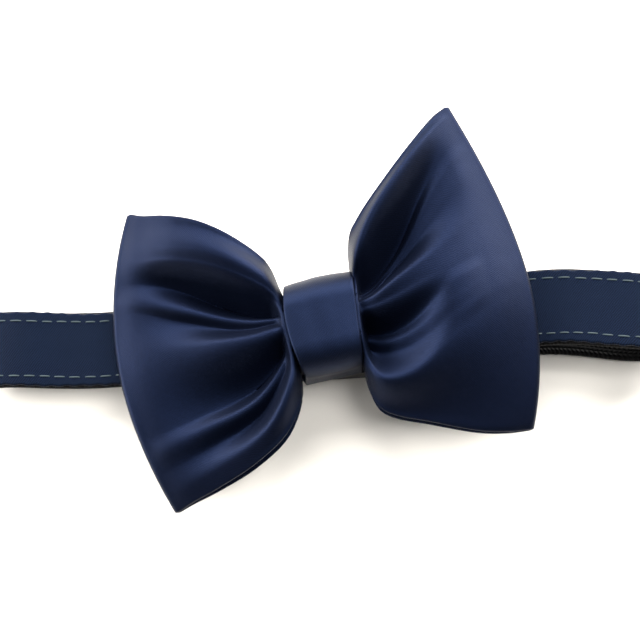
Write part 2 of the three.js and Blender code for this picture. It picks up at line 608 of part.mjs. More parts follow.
const bowTieCollar = new THREE.Group();
bowTieCollar.name = "pet_bow_tie_collar";
bowTieCollar.add(collar, bow);

export default bowTieCollar;
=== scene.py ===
# The pet bow tie collar lying on a pale table, seen from nearly above: a folded satin bow on a satin covered,
# top-stitched webbing collar. Shapes are worked out in millimetres and written in metres.
import math
import bpy
import numpy as np
from mathutils import Matrix


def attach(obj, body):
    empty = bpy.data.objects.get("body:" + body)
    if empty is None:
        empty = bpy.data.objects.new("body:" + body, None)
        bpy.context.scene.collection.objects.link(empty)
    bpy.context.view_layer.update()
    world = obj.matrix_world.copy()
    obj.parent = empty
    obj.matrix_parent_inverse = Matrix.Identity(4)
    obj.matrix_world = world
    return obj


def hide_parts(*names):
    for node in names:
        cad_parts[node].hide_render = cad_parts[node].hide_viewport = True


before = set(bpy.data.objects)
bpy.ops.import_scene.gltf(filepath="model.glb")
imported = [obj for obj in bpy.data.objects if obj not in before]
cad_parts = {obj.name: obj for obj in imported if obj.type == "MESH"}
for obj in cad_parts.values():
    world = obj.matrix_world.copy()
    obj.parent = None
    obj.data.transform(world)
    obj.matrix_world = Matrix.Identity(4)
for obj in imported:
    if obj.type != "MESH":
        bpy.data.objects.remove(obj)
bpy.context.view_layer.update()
rng = np.random.default_rng(7)

MM_PER_M = 1000
TINY = 1e-12
FULL_TURN = 2 * math.pi
CLOTH_UV = "cloth"

# Sizes, the same as the part's.
SEAT = 0.3
WEBBING_WIDTH, WEBBING_WALL = 20.0, 1.5
RIBBON_WALL = 1.0
COLLAR_REACH, STRAIGHT_REACH = 95.0, 28.0
RIGHT_SWAY, RIGHT_END_DROP, LEFT_SWAY, LEFT_UNDER_SHIFT = 2.8, 1.4, 1.3, 2.1
RIGHT_RUN_RISE, LEFT_RUN_RISE = 13.0, 8.0
ROUND_FLOOR_INSET, ROUND_TOP_INSET, ROUND_PULL, ROUND_OVERSHOOT, ROUND_LIFT = 13.0, 17.0, 22.0, 6.0, 1.0
RUN_OUTER_EASE, RUN_DIP, RUN_INNER_EASE = 12.0, 1.2, 22.0
CLASP_BODY_LENGTH, CLASP_THICK = 26.0, 7.0
BAR_LENGTH, BAR_THICK, SLOT_LENGTH, FOLD_BACK, RIBBON_END_GAP = 4.0, 2.4, 4.2, 16.0, 4.0
SATIN_WALL, WING_REACH, WING_HALF_HEIGHT, WING_PUFF, FOLD_RADIUS = 1.0, 57.4, 44.0, 20.0, 0.9
BOW_TILT, WAIST_PUFF = math.radians(10), 10.0
BAND_WALL, BAND_HALF_LENGTH, BAND_END_SLANT, BAND_END_ROUND, BAND_SIDE_CLEARANCE = 1.2, 8.2, 1.5, 2.0, 0.5
WAIST_SIDE_CLEARANCE, WAIST_TOP_CLEARANCE = 1.0, 0.8
BAND_TOP_RADIUS, BAND_BASE_RADIUS, BAND_BARREL = 7.5, 1.2, 0.6

WEBBING_MIDDLE = RIBBON_WALL + SEAT + WEBBING_WALL / 2
BAND_BASE = CLASP_THICK + SEAT
UPPER_MIDDLE = BAND_BASE + BAND_WALL + SEAT + WEBBING_WALL / 2
BOW_BACK = UPPER_MIDDLE + WEBBING_WALL / 2 + SEAT + RIBBON_WALL + SEAT + SATIN_WALL / 2
WAIST_LIFT = SATIN_WALL + SEAT
BAND_TOP = BOW_BACK + WAIST_LIFT + WAIST_PUFF + SATIN_WALL / 2 + WAIST_TOP_CLEARANCE + BAND_WALL
BAND_REACH = BAND_HALF_LENGTH + max(BAND_END_SLANT, BAND_END_ROUND)
RUN_HALF_ACROSS = (WEBBING_WIDTH / 2) * math.cos(BOW_TILT) + BAND_REACH * math.sin(BOW_TILT)
BAND_INNER_HALF = RUN_HALF_ACROSS + BAND_SIDE_CLEARANCE
WAIST_HALF_HEIGHT = BAND_INNER_HALF - WAIST_SIDE_CLEARANCE - SATIN_WALL / 2
BAND_HALF_HEIGHT = BAND_INNER_HALF + BAND_WALL
BACK_ROUND, SHARP_SLOPE, STATION_POWER, WAIST_BLEND = 2.2, 1.5, 1.3, 0.1

# Each wing's plan: at, topOut, topUp, baseOut, baseDown, bulge, lean. Back layer: at, top, middle, base.
# Lines: name, crease, steps, across at each station, puff at each station.
LEFT_PLAN = [
    (0, 0, 0, 0, 0, 0, 0),
    (0.07, 0.04, 0.24, 0.03, 0.22, 0, 0),
    (0.2, 0.17, 0.46, 0.15, 0.46, 0.02, 0.05),
    (0.4, 0.37, 0.68, 0.36, 0.63, 0.06, 0.1),
    (0.65, 0.57, 0.82, 0.6, 0.74, 0.11, 0.15),
    (0.85, 0.7, 0.89, 0.77, 0.8, 0.15, 0.15),
    (1, 0.76, 0.94, 0.86, 0.84, 0.19, 0.15),
]
RIGHT_PLAN = [
    (0, 0, 0, 0, 0, 0, 0),
    (0.07, 0.02, 0.26, 0, 0.28, 0.01, 0),
    (0.2, 0.09, 0.41, 0.06, 0.47, 0.05, -0.05),
    (0.4, 0.31, 0.69, 0.29, 0.63, 0.07, -0.1),
    (0.65, 0.54, 0.97, 0.53, 0.78, 0.1, -0.15),
    (0.85, 0.68, 1.13, 0.69, 0.84, 0.14, -0.15),
    (1, 0.77, 1.2, 0.81, 0.86, 0.18, -0.15),
]
LEFT_BACK = [
    (0, 0, 0, 0),
    (0.07, 0.06, 0.02, 0),
    (0.2, 0.18, 0.03, -0.06),
    (0.4, 0.3, 0.04, -0.16),
    (0.65, 0.37, 0.05, -0.22),
    (1, 0.39, 0.1, -0.21),
]
RIGHT_BACK = [
    (0, 0, 0, 0),
    (0.07, 0.12, 0.03, 0),
    (0.2, 0.26, 0.1, -0.02),
    (0.4, 0.4, 0.2, -0.04),
    (0.65, 0.5, 0.3, -0.04),
    (1, 0.6, 0.42, -0.02),
]
LINE_STATIONS = [0, 0.12, 0.3, 0.55, 0.8, 1]
LEFT_LINES = [
    ("top_edge", 0, 2, [1, 1, 1, 1, 1, 1],
     [0.4, 0.47, 0.5, 0.36, 0.13, 0]),
    ("top_roll", 0, 3, [0.62, 0.71, 0.755, 0.775, 0.805, 0.82],
     [0.55, 0.64, 0.66, 0.48, 0.19, 0]),
    ("shoulder", 0.2, 4, [0.5, 0.59, 0.65, 0.69, 0.71, 0.725],
     [0.5, 0.6, 0.62, 0.45, 0.18, 0]),
    ("upper_valley", 0.2, 3, [0.3, 0.25, 0.35, 0.5, 0.56, 0.57],
     [0.3, 0.16, 0.06, 0.08, 0.1, 0]),
    ("thin_ridge", 0, 2, [0.2, 0.17, 0.21, 0.32, 0.42, 0.46],
     [0.42, 0.44, 0.34, 0.29, 0.17, 0]),
    ("ridge_foot", 0, 2, [0.15, 0.12, 0.14, 0.24, 0.34, 0.38],
     [0.42, 0.42, 0.28, 0.2, 0.13, 0]),
    ("middle_roll", 0, 4, [0.02, 0, -0.01, 0.01, 0.05, 0.1],
     [0.5, 0.58, 0.53, 0.35, 0.17, 0]),
    ("lower_valley", 0.1, 3, [-0.2, -0.34, -0.46, -0.48, -0.5, -0.5],
     [0.3, 0.18, 0.06, 0.09, 0.1, 0]),
    ("short_ridge", 0, 3, [-0.28, -0.43, -0.57, -0.6, -0.62, -0.62],
     [0.34, 0.3, 0.26, 0.22, 0.15, 0]),
    ("base_valley", 0.1, 3, [-0.36, -0.52, -0.68, -0.72, -0.75, -0.76],
     [0.34, 0.28, 0.14, 0.12, 0.1, 0]),
    ("base_roll", 0, 2, [-0.62, -0.74, -0.86, -0.89, -0.9, -0.9],
     [0.5, 0.54, 0.42, 0.28, 0.14, 0]),
    ("bottom_edge", 0, 0, [-1, -1, -1, -1, -1, -1],
     [0.3, 0.34, 0.36, 0.27, 0.13, 0]),
]
RIGHT_LINES = [
    ("top_edge", 0, 3, [1, 1, 1, 1, 1, 1],
     [0.3, 0.44, 0.46, 0.34, 0.14, 0]),
    ("top_roll", 0, 4, [0.6, 0.72, 0.88, 0.93, 0.94, 0.94],
     [0.5, 0.66, 0.62, 0.42, 0.19, 0]),
    ("upper_valley", 0.15, 2, [0.36, 0.33, 0.43, 0.68, 0.78, 0.8],
     [0.3, 0.14, 0.07, 0.18, 0.17, 0]),
    ("valley_ridge", 0, 2, [0.3, 0.27, 0.38, 0.58, 0.68, 0.72],
     [0.36, 0.26, 0.19, 0.26, 0.2, 0]),
    ("side_valley", 0.1, 2, [0.25, 0.21, 0.33, 0.46, 0.56, 0.6],
     [0.42, 0.4, 0.21, 0.28, 0.22, 0]),
    ("plateau", 0, 3, [0.15, 0.15, 0.2, 0.24, 0.3, 0.3],
     [0.5, 0.52, 0.58, 0.46, 0.25, 0]),
    ("plateau_foot", 0, 4, [0.02, 0.07, 0.07, 0.08, 0.1, 0.1],
     [0.48, 0.5, 0.53, 0.47, 0.26, 0]),
    ("pocket", 0.1, 2, [-0.18, -0.19, -0.2, -0.04, 0.02, 0.02],
     [0.22, 0.1, 0.2, 0.48, 0.26, 0]),
    ("pocket_crease", 0, 2, [-0.26, -0.28, -0.3, -0.14, -0.06, -0.06],
     [0.2, 0.15, 0.26, 0.475, 0.26, 0]),
    ("second_pocket", 0.1, 2, [-0.34, -0.38, -0.39, -0.24, -0.14, -0.14],
     [0.22, 0.1, 0.24, 0.46, 0.26, 0]),
    ("pocket_rim", 0.3, 5, [-0.5, -0.7, -0.66, -0.38, -0.26, -0.22],
     [0.38, 0.44, 0.47, 0.44, 0.25, 0]),
    ("bottom_edge", 0, 0, [-1, -1, -1, -1, -1, -1],
     [0.2, 0.2, 0.2, 0.15, 0.08, 0]),
]


# Curves and meshes.
def smooth(stations, values, x):
    """A smooth curve through values given at rising stations, read at the array x."""
    stations, values = np.asarray(stations, float), np.asarray(values, float)
    x = np.clip(np.asarray(x, float), stations[0], stations[-1])
    i = np.clip(np.searchsorted(stations, x, side="left") - 1, 0, len(stations) - 2)
    rise, span = np.diff(values), np.diff(stations)
    slope = rise / span
    inner = (values[2:] - values[:-2]) / (stations[2:] - stations[:-2])
    tangent = np.concatenate([slope[:1], inner, slope[-1:]])
    t = (x - stations[i]) / span[i]
    a = tangent[i] * span[i] - rise[i]
    b = rise[i] - tangent[i + 1] * span[i]
    return values[i] + t * rise[i] + t * (1 - t) * (a * (1 - t) + b * t)


def columns(table, at):
    """Every column of a table but its first, read at the stations in its first, each as an upright array."""
    stations, *others = zip(*table)
    return [smooth(stations, values, at)[:, None] for values in others]


def smoothstep(x, lo, hi):
    t = np.clip((x - lo) / (hi - lo), 0, 1)
    return t * t * (3 - 2 * t)


def bell(x, middle, width):
    return np.exp(-((x - middle) / width) ** 2)


def unit(vectors):
    return vectors / np.maximum(np.linalg.norm(vectors, axis=-1, keepdims=True), TINY)


def places(along, across):
    """Where each point lies on the flat cloth, in millimetres."""
    return np.stack(np.broadcast_arrays(along, across), -1)


def normals(grid, wrap):
    """Unit normals of a grid of points, rows along axis 0."""
    if wrap:
        along = np.roll(grid, -1, 0) - np.roll(grid, 1, 0)
    else:
        along = np.gradient(grid, axis=0)
    return unit(np.cross(along, np.gradient(grid, axis=1)))


def add(name, data):
    obj = bpy.data.objects.new(name, data)
    bpy.context.collection.objects.link(obj)
    return obj


def smooth_mesh(name, points, faces, uv=None):
    """A mesh object from points in millimetres, with the places on the flat cloth if they are given."""
    mesh = bpy.data.meshes.new(name)
    mesh.from_pydata((points / MM_PER_M).tolist(), [], faces)
    if uv is not None:
        layer = mesh.uv_layers.new(name=CLOTH_UV)
        vertex_of_loop = np.empty(len(mesh.loops), dtype=np.int64)
        mesh.loops.foreach_get("vertex_index", vertex_of_loop)
        layer.data.foreach_set("uv", uv[vertex_of_loop].astype(np.float32).ravel())
        mesh.validate()
    mesh.polygons.foreach_set("use_smooth", [True] * len(mesh.polygons))
    return add(name, mesh)


EDGE_POINTS = 3


def cloth(name, grid, wall, wrap, uv, lift=None):
    """A closed cloth wall round a grid of middle points, with rounded side edges, as a mesh object.

    A lift raises the face that the grid's normals point to. On the collar's strips that is the inner face.
    """
    out = normals(grid, wrap)
    half = wall / 2
    face = grid + out * half
    reverse = grid - out * half
    if lift is not None:
        face = face + out * lift[..., None]

    def edge(k, neighbour):
        """The points round one side edge, from the face to its reverse."""
        side = grid[:, k] - grid[:, neighbour]
        side = unit(side - np.sum(side * out[:, k], axis=1, keepdims=True) * out[:, k])
        angles = [math.pi * e / (EDGE_POINTS + 1) for e in range(1, EDGE_POINTS + 1)]
        return np.stack([grid[:, k] + half * (out[:, k] * math.cos(a) + side * math.sin(a)) for a in angles], 1)

    ring = np.concatenate([face, edge(-1, -2), reverse[:, ::-1], edge(0, 1)[:, ::-1]], 1)
    last_uv, first_uv = np.repeat(uv[:, -1:], EDGE_POINTS, 1), np.repeat(uv[:, :1], EDGE_POINTS, 1)
    ring_uv = np.concatenate([uv, last_uv, uv[:, ::-1], first_uv], 1)

    rows, around = ring.shape[:2]
    index = np.arange(rows * around).reshape(rows, around)
    beside = np.roll(index, -1, 1)
    if wrap:
        corners = index, np.roll(index, -1, 0), np.roll(beside, -1, 0), beside
    else:
        corners = index[:-1], index[1:], beside[1:], beside[:-1]
    faces = [tuple(quad) for quad in np.stack(corners, -1).reshape(-1, 4).tolist()]
    if not wrap:
        first, last = index[0].tolist(), index[-1].tolist()
        for j in range(around // 2 - 1):
            faces.append((first[j], first[j + 1], first[-2 - j], first[-1 - j]))
        for j in range(around // 2 - 1):
            faces.append((last[-1 - j], last[-2 - j], last[j + 1], last[j]))
    return smooth_mesh(name, ring.reshape(-1, 3), faces, ring_uv.reshape(-1, 2))


# Bow. FINE is how many times finer its columns are than the part's.
FINE = 5
FRONT_ROWS, BACK_ROWS, NOSE_ROWS = 84, 26, 5
BOW_WALL = SATIN_WALL * 0.9
# Places on the flat cloth: a wing's start and length, a step round its fold, its far end, and room across.
CLOTH_START, CLOTH_LENGTH, NOSE_STEP, CLOTH_END, CLOTH_ROOM = 8, 62, 0.4, 144, 20
# Seeds of the two wings' creases and ripples, how many of each, how high they are, and how near the side edges
# they stop. Then the ranges that they are drawn from: waves across the wing, waves along it, and reach.
RIGHT_SEED, LEFT_SEED, CREASES, RIPPLES, WRINKLE_HEIGHT, WRINKLE_EDGE = 3, 11, 5, 6, 0.09, 6
CREASE_ACROSS, CREASE_BEND, CREASE_BEND_GAIN, CREASE_REACH = (7, 15), (-1.5, 1.5), 4, (0.1, 0.2)
RIPPLE_ACROSS, RIPPLE_ALONG, ANY_PHASE = (2.5, 7), (3, 9), (0, 6.28)


def fold_grid(lines, at):
    """Places across a wing and puffs of all its columns, at every station."""
    across_lines = [smooth(LINE_STATIONS, across, at) for *_, across, _ in lines]
    puff_lines = [smooth(LINE_STATIONS, puff, at) for *_, puff in lines]
    creases = [crease for _, crease, *_ in lines]
    across, puff = [], []
    for k, (_, _, steps, _, _) in enumerate(lines[:-1]):
        width = across_lines[k + 1] - across_lines[k]
        rise = puff_lines[k + 1] - puff_lines[k]
        start = SHARP_SLOPE * creases[k] * rise
        end = SHARP_SLOPE * creases[k + 1] * rise
        for i in range(steps * FINE):
            t = i / (steps * FINE)
            across.append(across_lines[k] + width * t)
            puff.append(puff_lines[k] + rise * t * t * (3 - 2 * t) + start * t * (1 - t) ** 2 - end * t * t * (1 - t))
    across.append(-np.ones_like(at))
    puff.append(puff_lines[-1])
    return np.stack(across, 1), np.stack(puff, 1)


def band_end(side, share):
    """How far the knot band reaches along a side, at a share of its half height."""
    return BAND_HALF_LENGTH + (BAND_END_SLANT * share if side > 0 else BAND_END_ROUND * (1 - share * share))


def wrinkles(side, at, across):
    """Fine creases that run out of the knot, and a slack ripple over the rest of the cloth, in millimetres."""
    local = np.random.default_rng(RIGHT_SEED if side > 0 else LEFT_SEED)
    total = np.zeros(np.broadcast(at, across).shape)
    for _ in range(CREASES):
        waves, phase = local.uniform(*CREASE_ACROSS), local.uniform(*ANY_PHASE)
        bend, reach = local.uniform(*CREASE_BEND), local.uniform(*CREASE_REACH)
        crease = np.sin(waves * across + phase + bend * at * CREASE_BEND_GAIN)
        total += WRINKLE_HEIGHT * crease * np.exp(-at / reach)
    for _ in range(RIPPLES):
        waves, along = local.uniform(*RIPPLE_ACROSS), local.uniform(*RIPPLE_ALONG)
        phase = local.uniform(*ANY_PHASE)
        total += WRINKLE_HEIGHT * np.sin(waves * across + along * at + phase)
    return total * (1 - np.abs(across) ** WRINKLE_EDGE)


def wing_layer(side, plan, back, lines, front, at):
    """The grid of a wing's front or back layer at the stations, before the bow's tilt, and its cloth places."""
    across, puff = fold_grid(lines, at)
    at = at[:, None]
    top_out, top_up, base_out, base_down, bulge, lean = columns(plan, at[:, 0])
    top, middle, base = columns(back, at[:, 0])
    height = middle + (np.where(across > 0, top, base) - middle) * np.abs(across) ** BACK_ROUND
    blend = smoothstep(at, 0, WAIST_BLEND)
    if front:
        waist = WAIST_LIFT + WAIST_PUFF * np.sqrt(np.clip(1 - across ** 4, 0, 1))
        height = (height + puff) * WING_PUFF + at * FOLD_RADIUS
        height = waist * (1 - blend) + height * blend + wrinkles(side, at, across) * blend
    else:
        height = (height * WING_PUFF - at * FOLD_RADIUS) * blend
    top_share = (across + 1) / 2
    out = base_out + (top_out - base_out) * top_share + bulge * (1 - across ** 2) * (1 + lean * across)
    up = -base_down + (top_up + base_down) * top_share
    start = band_end(side, across * WAIST_HALF_HEIGHT / BAND_HALF_HEIGHT) + SEAT + SATIN_WALL / 2
    x = side * (start + out * (WING_REACH - FOLD_RADIUS - start))
    y = across * WAIST_HALF_HEIGHT + up * (WING_HALF_HEIGHT - WAIST_HALF_HEIGHT)
    uv = places(side * (CLOTH_START + at * CLOTH_LENGTH), across * (WAIST_HALF_HEIGHT * 2 + CLOTH_ROOM))
    return np.stack([x, y, BOW_BACK + height], -1), uv


def wing_rows(side, plan, back, lines):
    """A wing's rows: its front layer from the knot out, its folded end, and its back layer to the knot."""
    front_at = np.linspace(0, 1, FRONT_ROWS) ** STATION_POWER
    back_at = (np.linspace(0, 1, BACK_ROWS) ** STATION_POWER)[::-1]
    front, front_uv = wing_layer(side, plan, back, lines, True, front_at)
    rear, rear_uv = wing_layer(side, plan, back, lines, False, back_at)
    rows, uvs = [front], [front_uv]
    for i in range(1, NOSE_ROWS + 1):
        angle = math.pi * i / (NOSE_ROWS + 1)
        nose = np.array([side * math.sin(angle), 0, math.cos(angle) - 1]) * FOLD_RADIUS
        rows.append((front[-1] + nose)[None])
        uvs.append(front_uv[-1][None] + np.array([side * i * NOSE_STEP, 0]))
    rear_uv[..., 0] = side * CLOTH_END - rear_uv[..., 0]
    return np.concatenate(rows + [rear]), np.concatenate(uvs + [rear_uv])


def tilt(grid):
    """A grid turned by the bow's tilt about the knot."""
    x, y, z = np.moveaxis(grid, -1, 0)
    c, s = math.cos(BOW_TILT), math.sin(BOW_TILT)
    return np.stack([c * x - s * y, s * x + c * y, z], -1)


right_wing, right_uv = wing_rows(1, RIGHT_PLAN, RIGHT_BACK, RIGHT_LINES)
left_wing, left_uv = wing_rows(-1, LEFT_PLAN, LEFT_BACK, LEFT_LINES)
bow_grid = tilt(np.concatenate([right_wing, left_wing[::-1]])[:, ::-1])
bow_uv = np.concatenate([right_uv, left_uv[::-1]])[:, ::-1]
bow = cloth("satin_bow", bow_grid, BOW_WALL, True, bow_uv)

# Knot band.
CORNER_POINTS, FLAT_POINTS, BAND_COLUMNS = 24, 16, 49
VISUAL_BAND_WALL, BAND_SINK = BAND_WALL * 0.8, 0.12
# The height over which the band's plain lower part turns into its barrel, and its half length of cloth.
BARREL_EASE, BAND_CLOTH_HALF = 3, 9
# The band's two sets of faint folds: height, waves across it, phase, and how far they wander round it.
BROAD_FOLDS, FINE_FOLDS, FOLD_EDGE = (0.05, 5.2, 0, 0.9), (0.03, 9.5, 1.3, 0.8), 6


def line(a, b, n):
    t = np.linspace(0, 1, n)[:, None]
    return np.array(a) + (np.array(b) - np.array(a)) * t


def band_loop():
    """The band's section: a rounded box round the strap and the waist, as places across and heights."""
    half = BAND_INNER_HALF + BAND_WALL / 2
    base = BAND_BASE + BAND_WALL / 2
    top = BAND_TOP - BAND_WALL / 2
    corners = [
        (half - BAND_TOP_RADIUS, top - BAND_TOP_RADIUS, BAND_TOP_RADIUS),
        (-half + BAND_TOP_RADIUS, top - BAND_TOP_RADIUS, BAND_TOP_RADIUS),
        (-half + BAND_BASE_RADIUS, base + BAND_BASE_RADIUS, BAND_BASE_RADIUS),
        (half - BAND_BASE_RADIUS, base + BAND_BASE_RADIUS, BAND_BASE_RADIUS),
    ]

    def on_corner(k, angle):
        across, height, radius = corners[k % 4]
        return across + radius * math.cos(angle), height + radius * math.sin(angle)

    points = []
    for k in range(4):
        start = k * math.pi / 2
        arc = [on_corner(k, start + a) for a in np.linspace(0, math.pi / 2, CORNER_POINTS)]
        flat = line(arc[-1], on_corner(k + 1, start + math.pi / 2), FLAT_POINTS + 1)
        points += [arc, flat[1:-1]]
    return np.concatenate(points)


def band_grid():
    """The grid of the knot band before the bow's tilt, with its barrel and faint folds, and its cloth places."""
    loop = band_loop()
    share = np.linspace(-1, 1, BAND_COLUMNS)[None, :]
    middle = (BAND_BASE + BAND_TOP) / 2
    across, height = loop[:, :1], loop[:, 1:]
    reach = [band_end(side, across / BAND_HALF_HEIGHT) for side in (1, -1)]
    length = np.where(share > 0, *reach)
    away = unit(np.stack([across / BAND_HALF_HEIGHT, (height - middle) / (BAND_TOP - middle)], -1))
    turn = np.arctan2(away[..., 1], away[..., 0])
    upper = smoothstep(height, middle - BARREL_EASE, middle + BARREL_EASE)
    folds = 0
    for (high, waves, phase, wander), around in ((BROAD_FOLDS, np.sin(2 * turn)), (FINE_FOLDS, np.cos(turn))):
        folds = folds + high * np.sin(waves * share + phase + wander * around)
    barrel = upper * BAND_BARREL * (1 - share * share)
    swell = barrel + upper * folds * (1 - share ** FOLD_EDGE) - BAND_SINK
    grid = np.stack([share * length, across + swell * away[..., 0], height + swell * away[..., 1]], -1)
    around = np.concatenate([[0], np.cumsum(np.linalg.norm(np.diff(loop, axis=0), axis=1))])
    return grid, places(share * BAND_CLOTH_HALF, around[:, None])


knot_grid, knot_uv = band_grid()
band = cloth("knot_wrap", tilt(knot_grid)[::-1], VISUAL_BAND_WALL, True, knot_uv[::-1])

# Collar: the strap's way in the side view, as pairs of x and height.
BAR_INNER = CLASP_BODY_LENGTH / 2 + SLOT_LENGTH
BAR_OUTER = BAR_INNER + BAR_LENGTH
TURN_RADIUS = BAR_THICK / 2 + SEAT + WEBBING_WALL / 2
BAR_MIDDLE = WEBBING_MIDDLE + TURN_RADIUS
RIBBON_START = BAR_OUTER + FOLD_BACK + RIBBON_END_GAP
ROUND_TOP_END = COLLAR_REACH - ROUND_TOP_INSET
ROUND_FLOOR_END = COLLAR_REACH - ROUND_FLOOR_INSET
WEBBING_STEP, WEBBING_COLUMNS = 0.8, 25
# How many points each stretch of the way is first drawn with, before they are spaced evenly.
TAIL_POINTS, OVER_POINTS, TURN_POINTS, UNDER_POINTS, FLOOR_POINTS, RUN_POINTS = 60, 12, 40, 40, 80, 160
SAME_PLACE, SLOPE_STEP = 1e-6, 0.01
# The shares of a side at which its end starts to drop, and its lower run has fully shifted.
END_DROP_START, UNDER_SHIFT_END = 0.4, 0.5


def bezier(a, b, c, d, n):
    t = np.linspace(0, 1, n)[:, None]
    a, b, c, d = (np.array(point, float) for point in (a, b, c, d))
    return a * (1 - t) ** 3 + 3 * b * t * (1 - t) ** 2 + 3 * c * t * t * (1 - t) + d * t ** 3


def bar_turn(side):
    """From the folded-back end, over and round the clasp's bar, to where the ribbon starts."""
    upper = BAR_MIDDLE + TURN_RADIUS
    sewn = WEBBING_MIDDLE + WEBBING_WALL + SEAT
    tail = (side * (BAR_OUTER + FOLD_BACK), sewn)
    reach = side * FOLD_BACK / 2
    end = (side * BAR_OUTER, upper)
    back = bezier(tail, (tail[0] - reach, sewn), (end[0] + reach / 2, upper), end, TAIL_POINTS)
    over = line(end, (side * BAR_INNER, upper), OVER_POINTS)
    angles = math.pi / 2 + side * np.linspace(0, math.pi, TURN_POINTS)
    turn = np.stack([side * BAR_INNER + TURN_RADIUS * np.cos(angles), BAR_MIDDLE + TURN_RADIUS * np.sin(angles)], 1)
    under = line((side * BAR_INNER, WEBBING_MIDDLE), (side * RIBBON_START, WEBBING_MIDDLE), UNDER_POINTS)
    return np.concatenate([back, over, turn, under])


def half_run(side, rise):
    """From where the ribbon starts, along the table and over the end loop, to the knot."""
    high = WEBBING_MIDDLE + rise
    floor = line((side * RIBBON_START, WEBBING_MIDDLE), (side * ROUND_FLOOR_END, WEBBING_MIDDLE), FLOOR_POINTS)
    end_loop = bezier(
        (side * ROUND_FLOOR_END, WEBBING_MIDDLE), (side * (ROUND_FLOOR_END + ROUND_PULL), WEBBING_MIDDLE),
        (side * (ROUND_TOP_END + ROUND_PULL), high + ROUND_OVERSHOOT), (side * ROUND_TOP_END, high + ROUND_LIFT),
        RUN_POINTS)
    top = bezier(
        (side * ROUND_TOP_END, high + ROUND_LIFT), (side * (ROUND_TOP_END - RUN_OUTER_EASE), high - RUN_DIP),
        (side * (BAND_REACH + RUN_INNER_EASE), UPPER_MIDDLE), (side * BAND_REACH, UPPER_MIDDLE), RUN_POINTS)
    return np.concatenate([floor, end_loop, top])


def even(points, step):
    """The same way with points that step evenly along it, and how far along each is."""
    apart = np.linalg.norm(np.diff(points, axis=0), axis=1) > SAME_PLACE
    points = points[np.concatenate([[True], apart])]
    run = np.concatenate([[0], np.cumsum(np.linalg.norm(np.diff(points, axis=0), axis=1))])
    at = np.linspace(0, run[-1], int(round(run[-1] / step)) + 1)
    return np.stack([np.interp(at, run, values) for values in points.T], 1), at


def sway(x, z):
    """How far the strap runs to the side, at a place in the side view."""
    share = np.clip((np.abs(x) - STRAIGHT_REACH) / (COLLAR_REACH - STRAIGHT_REACH), 0, 1)
    wave = (1 - np.cos(FULL_TURN * share)) / 2
    under = 1 - smoothstep(z, WEBBING_MIDDLE, WEBBING_MIDDLE + LEFT_RUN_RISE)
    right_side = RIGHT_SWAY * wave - RIGHT_END_DROP * smoothstep(share, END_DROP_START, 1)
    left_side = LEFT_UNDER_SHIFT * smoothstep(share, 0, UNDER_SHIFT_END) * under - LEFT_SWAY * wave
    return np.where(x > 0, right_side, left_side)


def strip(view, offset, shares, edge=0.0):
    """The grid of a strip that follows the side view, at an offset outside the webbing's middle line."""
    x, z = view.T
    spine = np.stack([x, sway(x, z), z], 1)
    slope = (sway(x + SLOPE_STEP, z) - sway(x - SLOPE_STEP, z)) / (2 * SLOPE_STEP)
    sideways = np.stack([-slope, np.ones_like(x), np.zeros_like(x)], 1)
    sideways /= np.linalg.norm(sideways, axis=1, keepdims=True)
    outward = np.cross(sideways, np.gradient(spine, axis=0))
    outward /= np.linalg.norm(outward, axis=1, keepdims=True)
    across = np.full(len(x), WEBBING_WIDTH / 2)[:, None] * shares[None, :] + edge
    base = spine + outward * offset
    return base[:, None, :] + sideways[:, None, :] * across[..., None], outward, sideways


main_way = np.concatenate([half_run(1, RIGHT_RUN_RISE), half_run(-1, LEFT_RUN_RISE)[::-1]])
whole_way = np.concatenate([bar_turn(1), main_way, bar_turn(-1)[::-1]])

webbing_view, webbing_run = even(whole_way, WEBBING_STEP)
webbing_shares = np.linspace(-1, 1, WEBBING_COLUMNS)
webbing_grid, _, _ = strip(webbing_view, 0.0, webbing_shares)
webbing_uv = places(webbing_run[:, None], webbing_shares[None, :] * WEBBING_WIDTH / 2)
webbing = cloth("webbing_strap", webbing_grid, WEBBING_WALL, False, webbing_uv)

# Ribbon, sewn down along both edges: each stitch draws the cloth in, and the edge swells between two stitches.
STITCH_PITCH, STITCH_ROW = 4.1, 7.75
VISUAL_RIBBON, RIBBON_GAP = 0.9, 0.1
RIBBON_STEP, RIBBON_COLUMNS, RIBBON_RUN_START = 0.45, 61, -1.3
# The seam's groove and the swollen strip outside it: distance from the middle, and width.
SEAM_WIDTH, SWELL_ROW, SWELL_WIDTH = 0.5, 9.0, 0.75
# The relief of its hidden face, next to the webbing: how high it lies and may reach, and how deep the grooves,
# holes and swells are. The face that shows is smooth.
RIBBON_LIFT, LOWEST_LIFT, HIGHEST_LIFT = 0.2, -0.25, 0.32
GROOVE_DEPTH, HOLE_DEPTH, SWELL_HEIGHT, SWELL_DENT, SLACK_HEIGHT, SLACK_LENGTH = 0.14, 0.26, 0.1, 0.16, 0.06, 5.3
# Its edges: how far they swell between stitches and are drawn in overall, two slower waves, each with its height
# and length, and how close to the edge all this stays.
PUCKER_SWELL, PUCKER_IN, SLOW_WAVE, SLOWER_WAVE, PUCKER_EDGE = 0.32, 0.34, (0.08, 3.1), (0.12, 9.0), 8

ribbon_view, ribbon_run = even(main_way, RIBBON_STEP)
ribbon_run = ribbon_run + RIBBON_RUN_START
ribbon_shares = np.linspace(-1, 1, RIBBON_COLUMNS)


